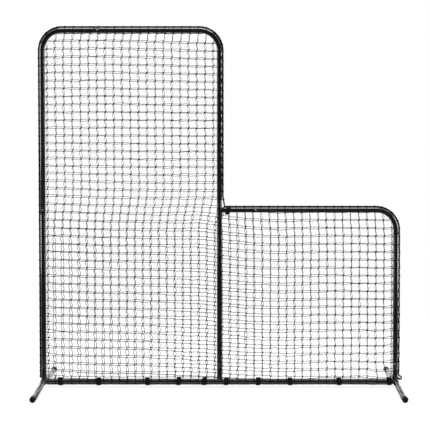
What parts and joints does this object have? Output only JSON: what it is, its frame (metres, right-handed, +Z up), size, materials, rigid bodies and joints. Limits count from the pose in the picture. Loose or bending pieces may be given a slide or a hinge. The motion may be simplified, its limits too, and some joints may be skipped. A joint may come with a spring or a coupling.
{
  "type": "baseball l screen",
  "caption": "Free-standing L-shaped pitching screen: a knock-down tube frame with rounded corners on arched feet, carrying a double square-mesh net with a border rope and hook-and-loop straps.",
  "frame": {"origin": "on the floor, midway between the feet, in the plane of the frame under the middle upright", "axes": "+X to the low side of the screen, seen from the front; +Y from the front to the rear along the feet; +Z up"},
  "size_m": [2.1513, 0.762, 2.1413],
  "materials": {
    "frame_paint": "black powder coat, semi-gloss",
    "foot_zinc": "bright zinc plating",
    "cap_plastic": "moulded, fine grain",
    "button_steel": "bright plated",
    "spring_steel": "oiled spring strip",
    "net_twine": "tarred knotted twine",
    "rope_fibre": "braided border rope",
    "strap_webbing": "hook-and-loop webbing"
  },
  "bodies": {
    "root": {"left_upright": "frame_paint", "top_left_bend": "frame_paint", "top_bar": "frame_paint", "top_right_bend": "frame_paint", "middle_upright": "frame_paint", "low_right_bend": "frame_paint", "right_upright": "frame_paint", "left_bottom_bar": "frame_paint", "right_bottom_bar": "frame_paint", "left_corner_fitting": "frame_paint", "right_corner_fitting": "frame_paint", "bottom_tee": "frame_paint", "left_foot": "foot_zinc", "right_foot": "foot_zinc", "left_front_cap": "cap_plastic", "left_rear_cap": "cap_plastic", "right_front_cap": "cap_plastic", "right_rear_cap": "cap_plastic", "net_front_tall": "net_twine", "net_front_low": "net_twine", "net_rear_tall": "net_twine", "net_rear_low": "net_twine", "border_rope": "rope_fibre", "net_strap_01": "strap_webbing", "net_strap_02": "strap_webbing", "net_strap_03": "strap_webbing", "net_strap_04": "strap_webbing", "net_strap_05": "strap_webbing", "net_strap_06": "strap_webbing", "net_strap_07": "strap_webbing", "net_strap_08": "strap_webbing", "net_strap_09": "strap_webbing", "net_strap_10": "strap_webbing", "notch_strap": "strap_webbing", "left_corner_up_spring": "spring_steel", "left_corner_side_spring": "spring_steel", "right_corner_up_spring": "spring_steel", "right_corner_side_spring": "spring_steel", "tee_left_spring": "spring_steel", "tee_right_spring": "spring_steel", "tee_up_spring": "spring_steel", "middle_up_spring": "spring_steel", "middle_side_spring": "spring_steel", "left_up_spring": "spring_steel", "top_left_spring": "spring_steel", "top_right_spring": "spring_steel", "low_right_spring": "spring_steel"},
    "left_corner_up_button": {"left_corner_up_button": "button_steel"},
    "left_corner_side_button": {"left_corner_side_button": "button_steel"},
    "right_corner_up_button": {"right_corner_up_button": "button_steel"},
    "right_corner_side_button": {"right_corner_side_button": "button_steel"},
    "tee_left_button": {"tee_left_button": "button_steel"},
    "tee_right_button": {"tee_right_button": "button_steel"},
    "tee_up_button": {"tee_up_button": "button_steel"},
    "middle_up_button": {"middle_up_button": "button_steel"},
    "middle_side_button": {"middle_side_button": "button_steel"},
    "left_up_button": {"left_up_button": "button_steel"},
    "top_left_button": {"top_left_button": "button_steel"},
    "top_right_button": {"top_right_button": "button_steel"},
    "low_right_button": {"low_right_button": "button_steel"}
  },
  "joints": [
    {"name": "left_corner_up_press", "type": "slide", "parent": "root", "child": "left_corner_up_button", "axis": [0, -1, 0], "range_m": [0, 0.005], "stiffness_N_per_m": 2500, "springref_m": -0.002, "deforming": ["left_corner_up_spring"]},
    {"name": "left_corner_side_press", "type": "slide", "parent": "root", "child": "left_corner_side_button", "axis": [0, 0, 1], "range_m": [0, 0.005], "stiffness_N_per_m": 2500, "springref_m": -0.002, "deforming": ["left_corner_side_spring"]},
    {"name": "right_corner_up_press", "type": "slide", "parent": "root", "child": "right_corner_up_button", "axis": [0.3827, 0.9239, 0], "range_m": [0, 0.005], "stiffness_N_per_m": 2500, "springref_m": -0.002, "deforming": ["right_corner_up_spring"]},
    {"name": "right_corner_side_press", "type": "slide", "parent": "root", "child": "right_corner_side_button", "axis": [0, 0.3827, -0.9239], "range_m": [0, 0.005], "stiffness_N_per_m": 2500, "springref_m": -0.002, "deforming": ["right_corner_side_spring"]},
    {"name": "tee_left_press", "type": "slide", "parent": "root", "child": "tee_left_button", "axis": [0, 0, 1], "range_m": [0, 0.005], "stiffness_N_per_m": 2500, "springref_m": -0.002, "deforming": ["tee_left_spring"]},
    {"name": "tee_right_press", "type": "slide", "parent": "root", "child": "tee_right_button", "axis": [0, 0, 1], "range_m": [0, 0.005], "stiffness_N_per_m": 2500, "springref_m": -0.002, "deforming": ["tee_right_spring"]},
    {"name": "tee_up_press", "type": "slide", "parent": "root", "child": "tee_up_button", "axis": [0, -1, 0], "range_m": [0, 0.005], "stiffness_N_per_m": 2500, "springref_m": -0.002, "deforming": ["tee_up_spring"]},
    {"name": "middle_up_press", "type": "slide", "parent": "root", "child": "middle_up_button", "axis": [0, -1, 0], "range_m": [0, 0.005], "stiffness_N_per_m": 2500, "springref_m": -0.002, "deforming": ["middle_up_spring"]},
    {"name": "middle_side_press", "type": "slide", "parent": "root", "child": "middle_side_button", "axis": [0, 1, 0], "range_m": [0, 0.005], "stiffness_N_per_m": 2500, "springref_m": -0.002, "deforming": ["middle_side_spring"]},
    {"name": "left_up_press", "type": "slide", "parent": "root", "child": "left_up_button", "axis": [0, 1, 0], "range_m": [0, 0.005], "stiffness_N_per_m": 2500, "springref_m": -0.002, "deforming": ["left_up_spring"]},
    {"name": "top_left_press", "type": "slide", "parent": "root", "child": "top_left_button", "axis": [0, 1, 0], "range_m": [0, 0.005], "stiffness_N_per_m": 2500, "springref_m": -0.002, "deforming": ["top_left_spring"]},
    {"name": "top_right_press", "type": "slide", "parent": "root", "child": "top_right_button", "axis": [0, -1, 0], "range_m": [0, 0.005], "stiffness_N_per_m": 2500, "springref_m": -0.002, "deforming": ["top_right_spring"]},
    {"name": "low_right_press", "type": "slide", "parent": "root", "child": "low_right_button", "axis": [0, -1, 0], "range_m": [0, 0.005], "stiffness_N_per_m": 2500, "springref_m": -0.002, "deforming": ["low_right_spring"]}
  ]
}
